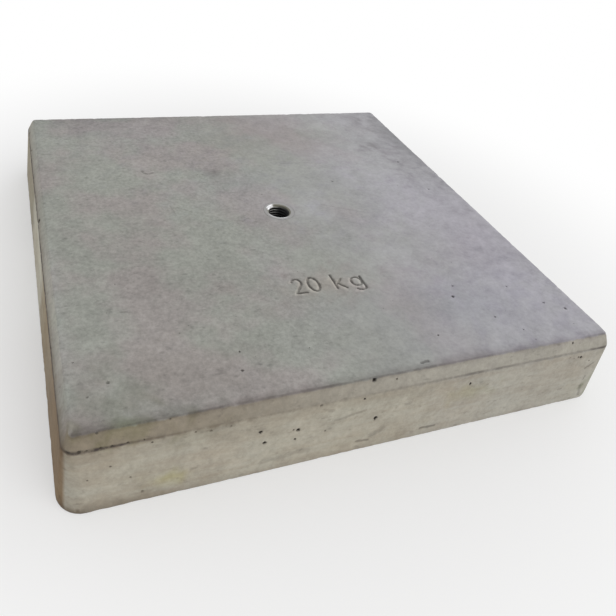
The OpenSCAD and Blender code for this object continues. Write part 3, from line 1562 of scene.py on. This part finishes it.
    def _crease_dirt_and_shade(self) -> Shade:
        """Draw the broken lines of dirt and painted shade in the two creases and along the foot.

        Returns:
            The strength of the dirt and painted shade, from 0 to 1.
        """
        broken = self.cloud(9, 4, 0.7, shift=21.0).fade(0.30, 0.55)
        wander = (self.cloud(14, 3, shift=22.0) - 0.5) * 1.4
        # A thin band darker towards the foot: dirt and painted contact shade
        dirt = (1 - (self.z + 0.6 * wander).fade(0.2, 1.6)) * (0.04 + 0.13 * broken)
        for ring, (sharp, soft, least, more) in self.CREASE_LINES.items():
            crease = self.slab.creases[ring]
            gap = (self.reach - crease.half).length(self.z - crease.height) + wander
            line = (1 - gap.fade(sharp, soft)) * (least + more * broken)
            dirt = dirt.most(line * self.maker.attribute(f"{ring.value}_crease_soil_and_shade"))
        return dirt


class WornSteel(Finish):
    """Turned steel: hazed with cement on its flat ring and dull on its chamfer, with a painted glint and lip
    highlight, and painted light and shade in the bore.
    """

    name = "worn_steel"

    # Painted highlight for the glint on the chamfer and for the near lip
    HIGHLIGHT_WHITE = rgb(226, 226, 228)
    HAZE = rgb(152, 151, 150)
    DULL = rgb(124, 122, 110)
    # Painted light and shade of the bore: lit crests, shaded roots and the unlit side
    LIT_CREST = rgb(128, 128, 126)
    SHADED_ROOT = rgb(16, 15, 14)
    UNLIT_BORE = rgb(52, 52, 52)
    # The sides of the mouth where the painted glint sits, where the bore is painted lit, and that is nearest,
    # in degrees from +x
    GLINT_AT = 127
    LIT_AT = 155
    NEAR_AT = 245

    def __init__(self, socket: ThreadedSocket) -> None:
        """Keep the socket's sizes."""
        super().__init__()
        self.socket = socket

    def _towards(self, degrees: float) -> Shade:
        """Measure how far a place lies towards an angle round the mouth."""
        return self.x * math.cos(math.radians(degrees)) + self.y * math.sin(math.radians(degrees))

    def paint(self) -> None:
        """Build the nodes."""
        maker, z, top = self.maker, self.z, self.socket.top
        around = self.x.length(self.y)
        patch = self.cloud(3, 4, 0.6)
        lip_r = self.socket.core_r + self.socket.chamfer
        inside = 1 - (z + 0.8 * (patch - 0.5)).fade(top - 2.4, top - 1.2)
        ring = (around + 0.3 * (patch - 0.5)).fade(lip_r - 0.15, lip_r + 0.15)
        # A polished stretch of the chamfer with a painted glint, and a painted highlight on the near lip
        painted_glint = (self._towards(self.GLINT_AT) / around + 0.15 * (patch - 0.5)).fade(0.86, 0.97)
        painted_glint = painted_glint * (1 - around.fade(lip_r + 0.4, lip_r + 1.2))
        lip_highlight = (1 - abs(around - lip_r - 0.3).fade(0.2, 0.7)) * self._towards(self.NEAR_AT).fade(6.0, 9.0)
        painted_highlight = (painted_glint * (1 - inside)).most(lip_highlight * (0.3 + 0.6 * patch))
        # Painted light and shade in the bore: the thread's crests are painted light on the lit side, as deep
        # as the light gets, the roots near black, and the unlit side dim
        lit = self._towards(self.LIT_AT).fade(-2.0, 4.0)
        crest = 1 - around.fade(self.socket.core_r + 0.1, self.socket.core_r + 0.7)
        shallow = z.fade(top - 14.0, top - 3.0)
        bore = maker.mix(crest * lit * shallow, self.SHADED_ROOT, self.LIT_CREST)
        bore = maker.mix((1 - lit) * shallow, bore, self.UNLIT_BORE)
        colour = maker.mix(ring, self.DULL, self.HAZE)
        colour = maker.mix(painted_highlight, colour, self.HIGHLIGHT_WHITE)
        colour = maker.mix(inside, colour, bore)
        rough = 0.5 + 0.2 * patch + 0.1 * ring - 0.25 * painted_highlight - 0.1 * inside
        metal = (painted_highlight * 0.7).most(inside * 0.8)
        self.surface(colour, rough, self.cloud(0.8, 3, 0.6, shift=4.0), 0.03, Metallic=metal)


class MillScale(Finish):
    """Dark rolled steel with a little rust."""

    name = "mill_scale"

    SCALE = rgb(84, 85, 90)
    RUST = rgb(112, 74, 50)

    def paint(self) -> None:
        """Build the nodes."""
        patch = self.cloud(6, 4, 0.6)
        colour = self.maker.mix(patch.fade(0.52, 0.68), self.SCALE, self.RUST)
        self.surface(colour, 0.45 + 0.4 * patch, self.cloud(1.5, 3), 0.05, Metallic=0.6)


class Lamp(Enum):
    """The sun lamps: where each shines from, its strength, its spread in degrees and its tint."""

    FRONT = ((0.55, -0.75, 0.85), 1.15, 60.0, (1.0, 0.985, 0.96))
    BACK = ((0.85, 0.65, 0.45), 0.55, 50.0, (0.93, 0.96, 1.0))


@dataclass
class Studio:
    """The floor, the lamps, the world and the camera. Metres and degrees, the lens in millimetres."""

    floor_half: float = 3.0
    floor_grey: float = 0.82
    floor_white: float = 0.35
    fade_from: float = 0.21
    fade_to: float = 0.52
    world_strength: float = 0.62
    camera_place: Triple = (-0.1781, -0.3639, 0.3061)
    camera_azimuth: float = 24.87
    camera_down: float = 42.57
    camera_roll: float = 9.36
    lens: float = 32.29
    sensor: float = 36.0
    shift: Spot = (0.0920, 0.0128)

    WHITE = (1, 1, 1, 1)

    def build(self) -> None:
        """Set up everything round the object."""
        bpy.context.scene.view_settings.view_transform = "Standard"
        self._add_floor()
        self._add_world()
        for lamp in Lamp:
            self._add_lamp(lamp)
        self._add_camera()

    def _add_floor(self) -> None:
        """Add the pale floor, which keeps the object's shadow and fades to white far away."""
        bm = bmesh.new()
        bmesh.ops.create_grid(bm, x_segments=1, y_segments=1, size=self.floor_half)
        floor = add_object("floor", to_mesh(bm, "floor"))
        material = bpy.data.materials.new("pale_floor")
        material.use_nodes = True
        maker = NodeMaker(material.node_tree)
        grey = (self.floor_grey, self.floor_grey, self.floor_grey, 1.0)
        matt = maker.node("ShaderNodeBsdfDiffuse", values={"Color": grey})
        white = maker.node("ShaderNodeEmission", values={"Color": self.WHITE, "Strength": 1.0})
        x, y, _ = maker.split(maker.place())
        away = x.length(y).fade(self.fade_from / MM, self.fade_to / MM)
        seen = maker.node("ShaderNodeLightPath", output="Is Camera Ray")
        share = seen * (self.floor_white + (1 - self.floor_white) * away)
        both = maker.node("ShaderNodeMixShader", values={0: share, 1: matt, 2: white})
        maker.node("ShaderNodeOutputMaterial", values={"Surface": both})
        floor.data.materials.append(material)

    def _add_world(self) -> None:
        """Add soft light from all round, and the white that the camera and gloss see."""
        world = bpy.data.worlds.new("soft_light")
        bpy.context.scene.world = world
        world.use_nodes = True
        maker = NodeMaker(world.node_tree)
        seen = maker.node("ShaderNodeLightPath", output="Is Camera Ray")
        for ray in ("Is Glossy Ray", "Is Transmission Ray"):
            seen = seen.most(maker.node("ShaderNodeLightPath", output=ray))
        strength = self.world_strength + (1 - self.world_strength) * seen
        sky = maker.node("ShaderNodeBackground", values={"Color": self.WHITE, "Strength": strength})
        maker.node("ShaderNodeOutputWorld", values={"Surface": sky})

    def _add_lamp(self, lamp: Lamp) -> None:
        """Add one soft sun.

        Args:
            lamp: which one.
        """
        towards, strength, spread, tint = lamp.value
        light = bpy.data.lights.new("lamp_" + lamp.name.lower(), "SUN")
        light.energy = strength
        light.angle = math.radians(spread)
        light.color = tint
        made = add_object(light.name, light)
        made.location = towards
        made.rotation_euler = Vector(towards).to_track_quat("Z", "Y").to_euler()

    def _add_camera(self) -> None:
        """Add the camera at the photograph's viewing angle."""
        data = bpy.data.cameras.new("camera")
        data.sensor_width = self.sensor
        data.lens = self.lens
        data.shift_x, data.shift_y = self.shift
        data.clip_start = 0.01
        camera = add_object("camera", data)
        turn = Matrix.Rotation(math.radians(-self.camera_azimuth), 4, "Z")
        tilt = Matrix.Rotation(math.radians(90 - self.camera_down), 4, "X")
        roll = Matrix.Rotation(math.radians(self.camera_roll), 4, "Z")
        camera.matrix_world = Matrix.Translation(self.camera_place) @ turn @ tilt @ roll
        bpy.context.scene.camera = camera


def seat(piece: bpy.types.Object, material: bpy.types.Material, node: str, slot: str) -> None:
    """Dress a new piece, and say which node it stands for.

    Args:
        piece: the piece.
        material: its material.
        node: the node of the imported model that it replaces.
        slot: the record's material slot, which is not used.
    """
    piece.data.materials.append(material)
    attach(piece, BODY)
    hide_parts(node)
    LOG.info("%s stands for %s with %d faces", piece.name, node, len(piece.data.polygons))


def main() -> None:
    """Build and dress the pieces, then set up the studio."""
    logging.basicConfig(level=logging.INFO, format="%(name)s: %(message)s")
    slab = ConcreteSlab.from_frame()
    seat(slab.build(), CastConcrete(slab).make(), slab.NODE, slab.SLOT)
    socket = ThreadedSocket.from_frame()
    seat(socket.build(), WornSteel(socket).make(), socket.NODE, socket.SLOT)
    plate = AnchorPlate().dress()
    LOG.info("%s keeps its packed shape", plate.name)
    Studio().build()


if __name__ == "__main__":
    main()
